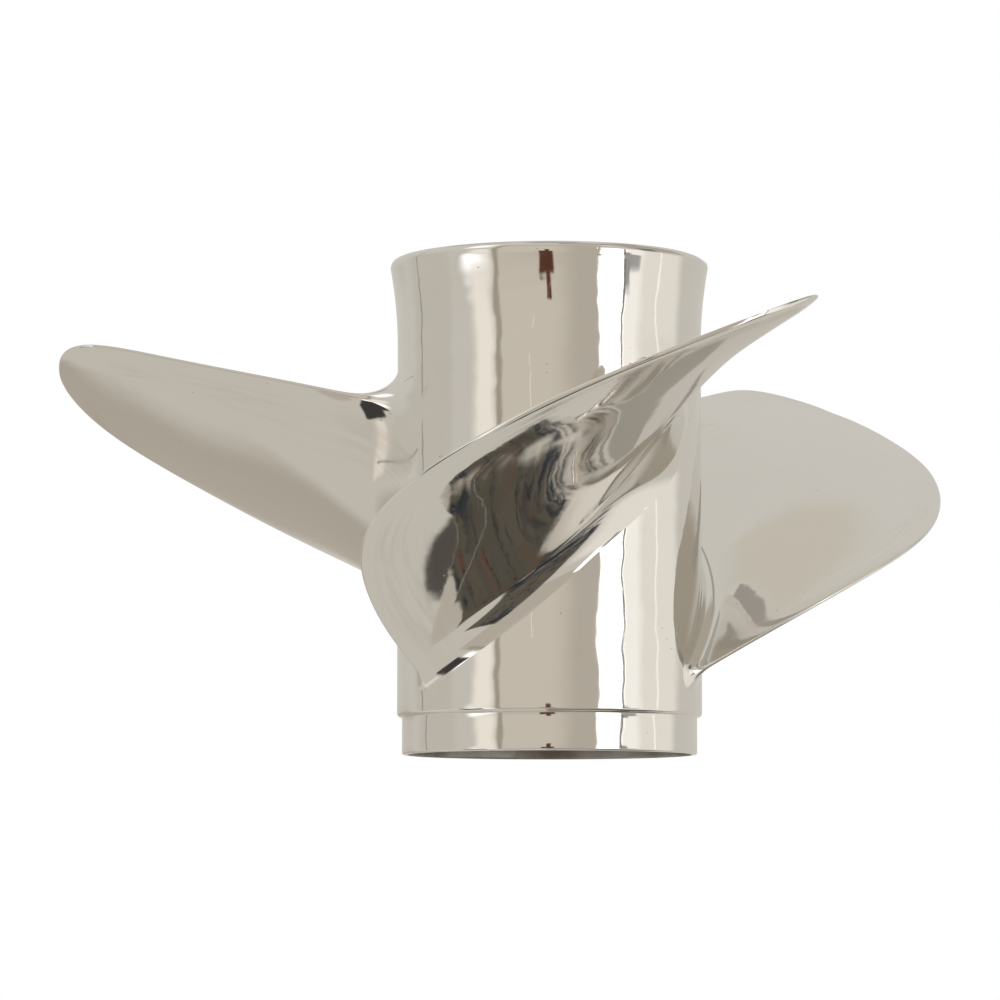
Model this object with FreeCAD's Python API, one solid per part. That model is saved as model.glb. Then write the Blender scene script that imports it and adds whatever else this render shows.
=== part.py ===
"""Stainless through-hub-exhaust propeller for an outboard, with its slip hub and shaft hardware.

Frame: +Z runs along the shaft, from the gearcase end (z = 0) to the flared aft end. The origin is the
centre of the front rim. Angles are measured about +Z from -Y, so angle 0 faces -Y and +90 faces +X.
Lengths are in millimetres and angles in degrees.
"""

import FreeCAD, Part
import math
import os

from FreeCAD import Vector

# ---- driving dimensions -------------------------------------------------------------------------
BLADE_COUNT = 3
BLADE_STEP = 360.0 / BLADE_COUNT

# Outer barrel: the 4 3/4 in size that V6 outboard gearcases take.
BARREL_R = 120.65 / 2
BARREL_LENGTH = 196.5
BARREL_BORE_R = 55.5
SPIGOT_R = 58.35              # stepped front collar that enters the gearcase ring
SPIGOT_LENGTH = 14.8
STEP_ROUND = 1.6              # rounded shoulder behind the collar
FLARE_START = 162.0           # the aft end opens from here
FLARE_R = 63.2                # widest radius of the flared lip
FLARE_PEAK = 193.4            # height of that widest radius
LIP_WALL = 4.0                # wall at the lip
LIP_ROUND = 2.4               # outer rounding of the lip
LIP_EASE = 0.9                # inner rounding of the lip
LIP_BORE_START = 159.0        # the bore opens out from here
NOSE_ROUND = 0.8              # rounding of the front rim

# Inner hub and the webs that carry it.
HUB_R = 31.0
HUB_BORE_R = 25.4             # 2 in bore for the rubber bush
HUB_FRONT = 22.0
HUB_AFT = 122.0
HUB_CHAMFER = 1.2
WEB_COUNT = 3
WEB_THICKNESS = 6.0
WEB_FRONT = 30.0
WEB_AFT = 114.0
WEB_ANGLE = 30.0              # angle of the first web
WEB_NOSE = 2.85               # rounding of a web's front and aft edges

# Slip hub: rubber bonded to a splined bronze sleeve and pressed into the inner hub.
SLIP_GAP = 0.05               # drawn clearance at the face that slips when a blade strikes
BUSH_FRONT = 28.0
BUSH_AFT = 116.0
BUSH_CHAMFER = 1.5
FLUTE_COUNT = 12
FLUTE_R = 2.2
FLUTE_OFFSET = 0.4            # the flutes' centres lie this far outside the rubber
SLEEVE_R = 17.0
SLEEVE_FRONT = 21.4
SLEEVE_AFT = 128.0
SLEEVE_CHAMFER = 0.8

# Internal spline: 15 teeth, 16/32 diametral pitch, for the 1 in propeller shaft.
SPLINE_TEETH = 15
SPLINE_TIP_R = 22.225 / 2     # tooth tips
SPLINE_ROOT_R = 25.96 / 2     # bottoms of the tooth spaces
SPLINE_LEAD_R = 13.25         # plain lead-in at each end of a splined bore
SPLINE_LEAD = 3.0
SPACE_AT_TIP = 0.54           # width of a tooth space over the pitch, near the tooth tips
SPACE_AT_ROOT = 0.38          # and at its bottom
SPACE_OVERLAP = 0.5           # the space's cutter starts this far inside the tips

# Thrust hub in front of the sleeve, and the hardware behind it.
THRUST_FRONT = 6.0
THRUST_FLANGE_FRONT = 14.0
THRUST_R = 29.0
THRUST_NOSE_R = 22.0
THRUST_BORE_R = 13.1
THRUST_CONE_R = 17.0
THRUST_CONE_DEPTH = 4.0
THRUST_CHAMFER = 1.0
SPACER_R = 23.0
SPACER_LENGTH = 12.0
SPACER_CHAMFER = 1.5
WASHER_R = 19.0
WASHER_BORE_R = 9.9
WASHER_THICKNESS = 3.0
WASHER_CHAMFER = 0.4
NUT_ACROSS_FLATS = 27.0       # 1 1/16 in wrench size, 3/4-16 thread
NUT_LENGTH = 16.0
NUT_BORE_R = 8.7
NUT_COLLAR_R = 12.6           # round collar that is rolled over the insert
NUT_COLLAR_LENGTH = 5.0
NUT_COLLAR_CHAMFER = 1.2
NUT_CROWN_DEPTH = 2.0         # the hexagon's corners are turned down over this height
NUT_CROWN_WIDTH = 3.2
NUT_FOOT_DEPTH = 0.7          # and, less, at the seat
NUT_FOOT_WIDTH = 1.2
INSERT_R = 11.4
INSERT_BORE_R = 9.1
INSERT_LENGTH = 3.6
INSERT_CLEARANCE = 0.6        # the collar's opening clears the insert's bore by this
INSERT_LIP = 0.5              # the collar laps the insert by this

# Blade edge, from the leading edge at the barrel, round the tip, to the trailing edge at the barrel.
# Control points (radius, angle, height) of one cubic curve.
BLADE_EDGE = [
    (60.0, -54.5, 29.0),
    (95.0, -43.5, 51.0),
    (128.0, -35.0, 71.0),
    (158.0, -21.5, 91.0),
    (177.0, -4.5, 115.5),
    (197.0, 12.5, 138.0),
    (201.0, 26.0, 157.5),
    (188.0, 33.5, 165.0),
    (155.0, 33.5, 157.5),
    (108.5, 35.5, 148.5),
    (60.0, 48.0, 137.0),
]
EDGE_HALF = 0.7               # half thickness of the blade's rim
RIM_SHARE = 0.45              # but never more than this share of the chord, near the tip
ROOT_HALF = 6.2               # half thickness amidships at the barrel
TIP_HALF = 1.7                # half thickness amidships near the tip
TAPER_POWER = 1.4             # how the thickness falls from root to tip
BEVEL_WIDTH = 7.0             # the rim thins over this width
BEVEL_RISE = 0.3
TIP_FADE = 25.0               # the swell amidships dies away over this distance from the tip
ROOT_CAMBER = 0.035           # how far the blade bows forward, as a share of its chord
TIP_CAMBER = 0.005
CUP = 1.6                     # aft curl of the trailing rim
CUP_WIDTH = 14.0
FILLET_SIDE = 10.0            # blend radius between a blade face and the barrel
FILLET_LEADING = 7.5
FILLET_TRAILING = 22.0
LEADING_SHARE = 0.3           # chord share over which the blend changes at the leading rim
TRAILING_SHARE = 0.5          # and at the trailing rim

CHORD_STEPS = 20              # control columns along one face of a blade
ROUND_STEPS = 3               # control columns round each rim
SPAN_STEPS = 16               # control rows from the fillet to the tip
TIP_STEP = 1 / 3              # one more row this close to the tip keeps the rim round there
FILLET_PHASES = [0.0, 16.0, 32.0, 47.0, 60.0, 71.0, 80.0]
ROOT_DEPTH = 3.0              # how far the blade surface runs inside the barrel before it is cut
CLOSING_SHARES = [0.0, 0.35, 0.7]  # rows that close the surface inside the barrel, from its middle
CUT_PAST = 1.0                # cutters run past a face by this


# ---- small helpers ------------------------------------------------------------------------------
def place(radius, angle, height):
    """Point at a radius, an angle in degrees from -Y about +Z, and a height."""
    turn = math.radians(angle)
    return Vector(radius * math.sin(turn), -radius * math.cos(turn), height)


def cylinder(radius, low, high):
    return Part.makeCylinder(radius, high - low, Vector(0, 0, low))


def tube(outer, inner, low, high):
    return cylinder(outer, low, high).cut(cylinder(inner, low - CUT_PAST, high + CUT_PAST))


def turned(points):
    """Solid of revolution about Z from a closed (radius, height) outline."""
    wire = Part.makePolygon([Vector(r, 0, z) for r, z in points + points[:1]])
    return Part.Face(wire).revolve(Vector(0, 0, 0), Vector(0, 0, 1), 360)


def spun(shape, angle):
    copy = shape.copy()
    copy.rotate(Vector(0, 0, 0), Vector(0, 0, 1), angle)
    return copy


def chamfer_rims(shape, size, heights):
    """Chamfers the full circles of a shape that lie at the given heights."""
    rims = [
        edge
        for edge in shape.Edges
        if isinstance(edge.Curve, Part.Circle)
        and abs(edge.Curve.Center.x) + abs(edge.Curve.Center.y) < 1e-6
        and any(abs(edge.Curve.Center.z - h) < 1e-6 for h in heights)
    ]
    return shape.makeChamfer(size, rims)


def single_solid(shape):
    """The shape's one solid, tidied; anything else is a modelling fault."""
    solids = shape.Solids
    if len(solids) != 1:
        raise ValueError(f"expected one solid, found {len(solids)}")
    return solids[0]


# ---- barrel, inner hub and webs -----------------------------------------------------------------
def quarter_round(start, corner, end):
    """Three points of a rounded corner: its two ends and a point on the quarter circle between."""
    pull = math.sqrt(0.5)
    middle = tuple(
        s + e - c + (2 * c - s - e) * pull for s, c, e in zip(start, corner, end)
    )
    return [start, middle, end]


def barrel_outline():
    """Edges of the barrel's cross-section in the XZ plane, as runs of (radius, height) points: two
    points make a straight edge and three make an arc."""
    end = BARREL_LENGTH
    lip_r = FLARE_R - LIP_WALL
    nose_start = (SPIGOT_R - NOSE_ROUND, 0)
    nose_end = (SPIGOT_R, NOSE_ROUND)
    step_start = (BARREL_R - STEP_ROUND, SPIGOT_LENGTH)
    step_end = (BARREL_R, SPIGOT_LENGTH + STEP_ROUND)
    flare_start = (BARREL_R, FLARE_START)
    flare_middle = (BARREL_R + (FLARE_R - BARREL_R) / 4, (FLARE_START + FLARE_PEAK) / 2)
    flare_end = (FLARE_R, FLARE_PEAK)
    lip_outer = (FLARE_R - LIP_ROUND, end)
    lip_inner = (lip_r + LIP_EASE, end)
    bore_end = (lip_r, end - LIP_EASE)
    bore_start = (BARREL_BORE_R, LIP_BORE_START)
    bore_span = end - LIP_EASE - LIP_BORE_START
    bore_middle = (BARREL_BORE_R + (lip_r - BARREL_BORE_R) / 4, LIP_BORE_START + bore_span / 2)
    return [
        [(BARREL_BORE_R, 0), nose_start],
        quarter_round(nose_start, (SPIGOT_R, 0), nose_end),
        [nose_end, (SPIGOT_R, SPIGOT_LENGTH)],
        [(SPIGOT_R, SPIGOT_LENGTH), step_start],
        quarter_round(step_start, (BARREL_R, SPIGOT_LENGTH), step_end),
        [step_end, flare_start],
        [flare_start, flare_middle, flare_end],
        quarter_round(flare_end, (FLARE_R, end), lip_outer),
        [lip_outer, lip_inner],
        quarter_round(lip_inner, (lip_r, end), bore_end),
        [bore_end, bore_middle, bore_start],
        [bore_start, (BARREL_BORE_R, 0)],
    ]


def make_barrel():
    edges = []
    for run in barrel_outline():
        points = [Vector(r, 0, z) for r, z in run]
        maker = Part.Arc if len(points) == 3 else Part.LineSegment
        edges.append(maker(*points).toShape())
    profile = Part.Face(Part.Wire(edges))
    return single_solid(profile.revolve(Vector(0, 0, 0), Vector(0, 0, 1), 360))


def make_inner_hub():
    hub = tube(HUB_R, HUB_BORE_R, HUB_FRONT, HUB_AFT)
    return single_solid(chamfer_rims(hub, HUB_CHAMFER, [HUB_FRONT, HUB_AFT]))


def make_web(angle):
    """One flat web between the inner hub and the barrel, with rounded front and aft noses."""
    half = WEB_THICKNESS / 2
    plank = Part.makeBox(
        WEB_THICKNESS, BARREL_R, WEB_AFT - WEB_FRONT, Vector(-half, -BARREL_R, WEB_FRONT)
    )
    radial = Vector(0, 1, 0)
    noses = [edge for edge in plank.Edges if edge.tangentAt(edge.FirstParameter).cross(radial).Length < 0.1]
    plank = plank.makeFillet(WEB_NOSE, noses)
    ring = tube(BARREL_BORE_R, HUB_R, WEB_FRONT - CUT_PAST, WEB_AFT + CUT_PAST)
    return single_solid(spun(plank.common(ring), angle))


# ---- blades -------------------------------------------------------------------------------------
class BladeEdge:
    """The blade's rim as leading and trailing (angle, height) at any radius."""

    SAMPLES = 1200

    def __init__(self, points):
        curve = Part.BSplineCurve()
        count = len(points)
        degree = 3
        knots = [i / (count - degree) for i in range(count - degree + 1)]
        mults = [degree + 1] + [1] * (count - degree - 1) + [degree + 1]
        curve.buildFromPolesMultsKnots([Vector(*p) for p in points], mults, knots, False, degree)
        rim = [curve.value(i / self.SAMPLES) for i in range(self.SAMPLES + 1)]
        top = max(range(len(rim)), key=lambda i: rim[i].x)
        self.tip_radius = rim[top].x
        self.leading = rim[: top + 1]
        self.trailing = rim[top:][::-1]

    @staticmethod
    def at(branch, radius):
        """Angle and height on one side of the blade, carried straight on inside the root."""
        low = 0
        high = len(branch) - 1
        while high - low > 1:
            middle = (low + high) // 2
            if branch[middle].x <= radius:
                low = middle
            else:
                high = middle
        a = branch[low]
        b = branch[low + 1]
        share = min(1.0, (radius - a.x) / (b.x - a.x))
        return a.y + (b.y - a.y) * share, a.z + (b.z - a.z) * share


def smooth(x):
    x = min(1.0, max(0.0, x))
    return x * x * (3 - 2 * x)


def loop_columns():
    """(chord share, side, turn) for each control column round a section: aft face, trailing rim,
    forward face, leading rim. Side is +1 on the aft face and -1 on the forward face; turn is the angle
    round a rim, or None on a face."""
    shares = [0.5 - 0.5 * math.cos(math.pi * (i + 0.5) / CHORD_STEPS) for i in range(CHORD_STEPS)]
    turns = [90.0 - 180.0 * (i + 0.5) / ROUND_STEPS for i in range(ROUND_STEPS)]
    columns = [(share, 1, None) for share in shares]
    columns += [(1.0, 0, turn) for turn in turns]
    columns += [(share, -1, None) for share in reversed(shares)]
    columns += [(0.0, 0, -turn) for turn in turns]
    return columns


def depth_share(radius, tip_radius):
    """1 at the barrel, falling to 0 at the blade's tip."""
    return max(0.0, (tip_radius - radius) / (tip_radius - BARREL_R))


def ease(distance, width):
    """0 at no distance, rising to 1 at width and levelling off there."""
    return 1 - (1 - min(1.0, max(0.0, distance / width))) ** 2


def half_thickness(radius, along, chord, tip_radius):
    """Half thickness at a share along the chord: a thin bevelled rim that swells amidships."""
    middle = TIP_HALF + (ROOT_HALF - TIP_HALF) * depth_share(radius, tip_radius) ** TAPER_POWER
    rim_distance = min(min(along, 1 - along) * chord, tip_radius - radius)
    bevel = BEVEL_RISE * ease(rim_distance, BEVEL_WIDTH)
    swell = (middle - EDGE_HALF - BEVEL_RISE) * ease(tip_radius - radius, TIP_FADE)
    return EDGE_HALF + bevel + swell * 4 * along * (1 - along)


def camber_line(radius, along, chord, tip_radius):
    """How far the section's middle line bows forward: even camber, and a cup at the trailing rim."""
    camber = TIP_CAMBER + (ROOT_CAMBER - TIP_CAMBER) * depth_share(radius, tip_radius)
    cup = CUP * along * ease(min((1 - along) * chord, tip_radius - radius), CUP_WIDTH)
    return -camber * chord * math.sin(math.pi * along), -cup


def fillet_radius(along):
    """Root blend radius, which changes towards the leading and trailing rims."""
    trailing = smooth((along - 1 + TRAILING_SHARE) / TRAILING_SHARE)
    leading = smooth((LEADING_SHARE - along) / LEADING_SHARE)
    wider = (FILLET_TRAILING - FILLET_SIDE) * trailing
    tighter = (FILLET_LEADING - FILLET_SIDE) * leading
    return FILLET_SIDE + wider + tighter


def section_point(edge, radius, column, spread):
    """One point of a blade section, unrolled on the cylinder of that radius and rolled up again.
    spread pushes the point outwards, away from the section's middle line."""
    share, side, turn = column
    lead_angle, lead_height = edge.at(edge.leading, radius)
    trail_angle, trail_height = edge.at(edge.trailing, radius)
    run = radius * math.radians(trail_angle - lead_angle)
    climb = trail_height - lead_height
    chord = math.hypot(run, climb)
    if chord < 1e-9:
        return place(radius, lead_angle, lead_height)
    rim = min(EDGE_HALF, RIM_SHARE * chord)
    rim_scale = rim / EDGE_HALF
    station = rim + share * (chord - 2 * rim)
    bow, cup = camber_line(radius, share, chord, edge.tip_radius)
    lift = bow + cup * rim_scale
    if turn is None:
        half = half_thickness(radius, share, chord, edge.tip_radius) * rim_scale
        lift += side * (half + spread)
    else:
        outward = 1 if share > 0.5 else -1
        station += outward * (rim + spread) * math.cos(math.radians(turn))
        lift += (rim + spread) * math.sin(math.radians(turn))
    s = (station * run - lift * climb) / chord
    z = (station * climb + lift * run) / chord
    return place(radius, lead_angle + math.degrees(s / radius), lead_height + z)


def fillet_rows(edge, columns):
    """Control rows of the root blend, from where it leaves the blade down to the barrel."""
    rows = []
    for phase in FILLET_PHASES:
        row = []
        for column in columns:
            blend = fillet_radius(column[0])
            height = blend * (1 - math.sin(math.radians(phase)))
            spread = blend * (1 - math.cos(math.radians(phase)))
            row.append(section_point(edge, BARREL_R + height, column, spread))
        rows.append(row)
    return rows


def buried_rows(foot):
    """Rows under the blend's foot, inside the barrel, after a few that shrink to close the surface."""
    sunk = []
    for depth in (ROOT_DEPTH, ROOT_DEPTH / 2):
        shrink = 1 - depth / BARREL_R
        sunk.append([Vector(p.x * shrink, p.y * shrink, p.z) for p in foot])
    angles = [math.degrees(math.atan2(p.x, -p.y)) for p in foot]
    middle_angle = sum(angles) / len(foot)
    middle_height = sum(p.z for p in foot) / len(foot)
    closing = []
    for share in CLOSING_SHARES:
        row = []
        for angle, p in zip(angles, foot):
            turn = middle_angle + (angle - middle_angle) * share
            height = middle_height + (p.z - middle_height) * share
            row.append(place(BARREL_R - ROOT_DEPTH, turn, height))
        closing.append(row)
    return closing + sunk


def span_rows(edge, columns):
    """Rows from the top of the root blend to the tip, closer together towards the tip."""
    rows = []
    for step in list(range(1, SPAN_STEPS)) + [SPAN_STEPS - TIP_STEP, SPAN_STEPS]:
        reach = math.sin(math.pi / 2 * step / SPAN_STEPS)
        row = []
        for column in columns:
            start = BARREL_R + fillet_radius(column[0])
            radius = start + (edge.tip_radius - start) * reach
            row.append(section_point(edge, radius, column, 0.0))
        rows.append(row)
    return rows


def blade_rows(edge):
    """All control rows, from inside the barrel, through the root blend, out to the tip."""
    columns = loop_columns()
    blend = fillet_rows(edge, columns)
    return buried_rows(blend[-1]) + blend[::-1] + span_rows(edge, columns)


def make_blade(edge, barrel_core, angle):
    """Closed blade surface, cut back to the barrel's outside so that the two only touch."""
    rows = blade_rows(edge)
    poles = [list(column) for column in zip(*rows)]
    across = len(poles)
    span = len(rows)
    degree = 3
    span_knots = [float(i) for i in range(span - degree + 1)]
    span_mults = [degree + 1] + [1] * (span - degree - 1) + [degree + 1]
    round_knots = [float(i) for i in range(across + 1)]
    round_mults = [1] * (across + 1)
    surface = Part.BSplineSurface()
    surface.buildFromPolesMultsKnots(
        poles, round_mults, span_mults, round_knots, span_knots, True, False, degree, degree
    )
    solid = Part.Solid(Part.Shell([surface.toShape()]))
    if solid.Volume < 0:
        solid.reverse()
    blade = single_solid(solid.cut(barrel_core))
    return spun(blade, angle)


# ---- slip hub and hardware ----------------------------------------------------------------------
def tooth_space(middle, low, high):
    """Cutter for one tooth space of the spline: narrower at its bottom than near the tooth tips."""
    pitch = 360.0 / SPLINE_TEETH
    near = SPACE_AT_TIP / 2 * pitch
    far = SPACE_AT_ROOT / 2 * pitch
    tip_r = SPLINE_TIP_R - SPACE_OVERLAP
    corners = [
        place(tip_r, middle - near, low),
        place(SPLINE_ROOT_R, middle - far, low),
        place(SPLINE_ROOT_R, middle + far, low),
        place(tip_r, middle + near, low),
    ]
    face = Part.Face(Part.makePolygon(corners + corners[:1]))
    return face.extrude(Vector(0, 0, high - low))


def spline_bore(low, high):
    """Cutter for an internal spline, with a plain lead-in at each end."""
    start = low - CUT_PAST
    end = high + CUT_PAST
    cutter = cylinder(SPLINE_TIP_R, start, end)
    for i in range(SPLINE_TEETH):
        cutter = cutter.fuse(tooth_space(i * 360.0 / SPLINE_TEETH, start, end))
    cutter = cutter.fuse(cylinder(SPLINE_LEAD_R, start, low + SPLINE_LEAD))
    return cutter.fuse(cylinder(SPLINE_LEAD_R, high - SPLINE_LEAD, end))


def make_drive_sleeve():
    sleeve = cylinder(SLEEVE_R, SLEEVE_FRONT, SLEEVE_AFT)
    sleeve = chamfer_rims(sleeve, SLEEVE_CHAMFER, [SLEEVE_FRONT, SLEEVE_AFT])
    return single_solid(sleeve.cut(spline_bore(SLEEVE_FRONT, SLEEVE_AFT)))


def make_rubber_bush():
    """Rubber between sleeve and inner hub, with lengthwise flutes that give it room to bulge."""
    outer = HUB_BORE_R - SLIP_GAP
    start = BUSH_FRONT - CUT_PAST
    end = BUSH_AFT + CUT_PAST
    bush = chamfer_rims(cylinder(outer, BUSH_FRONT, BUSH_AFT), BUSH_CHAMFER, [BUSH_FRONT, BUSH_AFT])
    bush = bush.cut(cylinder(SLEEVE_R, start, end))
    for i in range(FLUTE_COUNT):
        centre = place(outer + FLUTE_OFFSET, i * 360.0 / FLUTE_COUNT, start)
        bush = bush.cut(Part.makeCylinder(FLUTE_R, end - start, centre))
    return single_solid(bush)


def make_thrust_hub():
    """Stepped thrust washer with a tapered seat for the cone on the propeller shaft."""
    body = turned(
        [
            (THRUST_BORE_R, THRUST_FRONT + THRUST_CONE_DEPTH),
            (THRUST_CONE_R, THRUST_FRONT),
            (THRUST_NOSE_R, THRUST_FRONT),
            (THRUST_NOSE_R, THRUST_FLANGE_FRONT),
            (THRUST_R - THRUST_CHAMFER, THRUST_FLANGE_FRONT),
            (THRUST_R, THRUST_FLANGE_FRONT + THRUST_CHAMFER),
            (THRUST_R, SLEEVE_FRONT),
            (THRUST_BORE_R, SLEEVE_FRONT),
        ]
    )
    return single_solid(body)


def make_rear_spacer():
    low = SLEEVE_AFT
    high = SLEEVE_AFT + SPACER_LENGTH
    body = chamfer_rims(cylinder(SPACER_R, low, high), SPACER_CHAMFER, [high])
    return single_solid(body.cut(spline_bore(low, high)))


def make_washer():
    low = SLEEVE_AFT + SPACER_LENGTH
    ring = tube(WASHER_R, WASHER_BORE_R, low, low + WASHER_THICKNESS)
    return single_solid(chamfer_rims(ring, WASHER_CHAMFER, [low + WASHER_THICKNESS]))


def nut_seat():
    return SLEEVE_AFT + SPACER_LENGTH + WASHER_THICKNESS


def insert_pocket():
    """Groove in the nut's collar that holds the nylon insert."""
    low = nut_seat() + NUT_LENGTH
    return low, low + INSERT_LENGTH


def nut_hexagon(seat, top):
    """Hexagon with its corners turned down at both ends."""
    corner = NUT_ACROSS_FLATS / 2 / math.cos(math.radians(30))
    corners = [place(corner, 30 + 60 * i, seat) for i in range(6)]
    hexagon = Part.Face(Part.makePolygon(corners + corners[:1])).extrude(Vector(0, 0, top - seat))
    dome = turned(
        [
            (0, seat),
            (corner - NUT_FOOT_WIDTH, seat),
            (corner, seat + NUT_FOOT_DEPTH),
            (corner, top - NUT_CROWN_DEPTH),
            (corner - NUT_CROWN_WIDTH, top),
            (0, top),
        ]
    )
    return hexagon.common(dome)


def make_prop_nut():
    """Hexagon nut with a rolled collar over its locking insert."""
    seat = nut_seat()
    top = seat + NUT_LENGTH
    end = top + NUT_COLLAR_LENGTH
    collar = chamfer_rims(cylinder(NUT_COLLAR_R, top - CUT_PAST, end), NUT_COLLAR_CHAMFER, [end])
    body = nut_hexagon(seat, top).fuse(collar).removeSplitter()
    low, high = insert_pocket()
    body = body.cut(cylinder(NUT_BORE_R, seat - CUT_PAST, end + CUT_PAST))
    body = body.cut(cylinder(INSERT_R, low, high))
    opening = INSERT_BORE_R + INSERT_CLEARANCE
    body = body.cut(cylinder(opening, high - INSERT_LIP, end + CUT_PAST))
    return single_solid(body)


def make_nut_insert():
    low, high = insert_pocket()
    return single_solid(tube(INSERT_R, INSERT_BORE_R, low, high))


# ---- build --------------------------------------------------------------------------------------
def build_parts():
    edge = BladeEdge(BLADE_EDGE)
    barrel_core = cylinder(BARREL_R, -CUT_PAST, BARREL_LENGTH + CUT_PAST)
    parts = {
        "outer_barrel": make_barrel(),
        "inner_hub": make_inner_hub(),
        "rubber_bush": make_rubber_bush(),
        "drive_sleeve": make_drive_sleeve(),
        "thrust_hub": make_thrust_hub(),
        "rear_spacer": make_rear_spacer(),
        "plain_washer": make_washer(),
        "prop_nut": make_prop_nut(),
        "nut_insert": make_nut_insert(),
    }
    for i in range(BLADE_COUNT):
        parts[f"blade_{i + 1}"] = make_blade(edge, barrel_core, i * BLADE_STEP)
    for i in range(WEB_COUNT):
        parts[f"exhaust_web_{i + 1}"] = make_web(WEB_ANGLE + i * 360.0 / WEB_COUNT)
    return parts


def main():
    os.makedirs("parts", exist_ok=True)
    for name, shape in build_parts().items():
        if not shape.isValid() or shape.Volume <= 0:
            raise ValueError(f"{name} is not a valid solid")
        shape.exportStep(f"parts/{name}.step")
        box = shape.optimalBoundingBox()
        print(f"{name}: {shape.Volume / 1000:.1f} cm3, z {box.ZMin:.1f} to {box.ZMax:.1f}")


main()
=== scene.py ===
"""Looks of the stainless outboard propeller: smooth shells, materials, studio and camera.

The pieces are worked out in millimetres and turned into metres when a mesh is made. Angles are measured
about +Z from -Y, so angle 0 faces the camera and +90 faces +X.
"""
import math

import bmesh
import bpy
import numpy as np
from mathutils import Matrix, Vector


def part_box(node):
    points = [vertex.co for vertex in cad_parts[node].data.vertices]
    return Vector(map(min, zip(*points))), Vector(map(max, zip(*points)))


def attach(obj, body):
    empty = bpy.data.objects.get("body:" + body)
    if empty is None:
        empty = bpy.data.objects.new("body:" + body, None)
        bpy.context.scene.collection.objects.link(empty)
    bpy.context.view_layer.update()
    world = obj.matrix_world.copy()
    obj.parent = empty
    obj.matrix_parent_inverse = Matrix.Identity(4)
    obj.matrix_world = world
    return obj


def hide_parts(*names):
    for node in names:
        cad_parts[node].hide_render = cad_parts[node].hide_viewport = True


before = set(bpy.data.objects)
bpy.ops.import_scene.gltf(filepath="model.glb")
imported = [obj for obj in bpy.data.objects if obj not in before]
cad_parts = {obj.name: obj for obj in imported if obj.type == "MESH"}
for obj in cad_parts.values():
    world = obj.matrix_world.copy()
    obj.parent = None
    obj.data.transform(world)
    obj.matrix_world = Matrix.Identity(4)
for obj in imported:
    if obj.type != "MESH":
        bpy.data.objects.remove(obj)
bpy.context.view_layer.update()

MM = 0.001

# ---- sizes --------------------------------------------------------------------------------------
# Lengths are in millimetres and angles in degrees. Shares, cambers, powers and counts are plain numbers.
BARREL_R = 120.65 / 2
BARREL_BORE_R = 55.5
BARREL_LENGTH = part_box("outer_barrel")[1].z / MM
SPIGOT_R = 58.35
SPIGOT_LENGTH = 14.8
STEP_ROUND = 1.6
STEP_FILLET = 0.3
NOSE_ROUND = 0.8
FLARE_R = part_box("outer_barrel")[1].x / MM
FLARE_START = 162.0
FLARE_PEAK = BARREL_LENGTH - 3.1
LIP_WALL = 4.0
LIP_ROUND = 2.4
LIP_EASE = 0.9
LIP_BORE_START = 159.0
POLISH_START = 180.0  # height above which the bore's flare is polished
BARREL_COLUMNS = 360

# Inner hub, webs, slip hub and shaft hardware.
HUB_R = 31.0
HUB_BORE_R = 25.4
HUB_ROUND = 2.0
HUB_BORE_ROUND = 0.8
WEB_HALF = 3.0
WEB_ROOT = 5.0
WEB_ANGLE = 30.0
WEB_BURY = 0.6
BUSH_R = 25.35
BUSH_ROUND = 1.5
FLUTE_R = 2.2
FLUTE_CENTRE_R = 25.75
FLUTE_STEP = 30.0
SLEEVE_R = 17.0
SLEEVE_ROUND = 0.8
SPLINE_TIP_R = 22.225 / 2
SPLINE_ROOT_R = 25.96 / 2
SPLINE_LEAD_R = 13.25
SPLINE_LEAD = 3.0
EDGE_BREAK = 0.4
SPLINE_STEP = 24.0
SPACE_FLAT = 4.56
SPACE_TOP = 6.075
THRUST_BORE_R = 13.1
THRUST_CONE_R = 17.0
THRUST_CONE_DEPTH = 4.0
THRUST_NOSE_R = 22.0
THRUST_FLANGE_FRONT = 14.0
THRUST_R = 29.0
THRUST_NOSE_ROUND = 0.8
THRUST_FILLET = 1.0
THRUST_BACK_ROUND = 0.5
SPACER_R = 23.0
SPACER_ROUND_FRONT = 0.3
SPACER_ROUND_BACK = 1.5
WASHER_R = 19.0
WASHER_BORE_R = 9.9
WASHER_ROUND = 0.3
WASHER_BACK_ROUND = 0.6
NUT_FLAT_R = 13.5
NUT_BORE_R = 8.7
NUT_FRONT_CHAMFER = 1.2
NUT_FRONT_CHAMFER_LENGTH = 0.7
NUT_BACK_CHAMFER = 3.2
NUT_BACK_CHAMFER_LENGTH = 2.0
NUT_COLLAR_R = 12.6
NUT_COLLAR_LENGTH = 5.0
NUT_COLLAR_ROUND = 1.2
NUT_COLLAR_SINK = 0.1
NUT_BORE_LEAD = 0.9
THREAD_PITCH = 25.4 / 16
THREAD_DEPTH = 0.8
THREAD_ROWS_PER_TURN = 6
INSERT_R = 11.4
INSERT_BORE_R = 9.1
INSERT_ROUND = 0.3
INSERT_BORE_ROUND = 0.5
INSERT_LIP = 0.6

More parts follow.
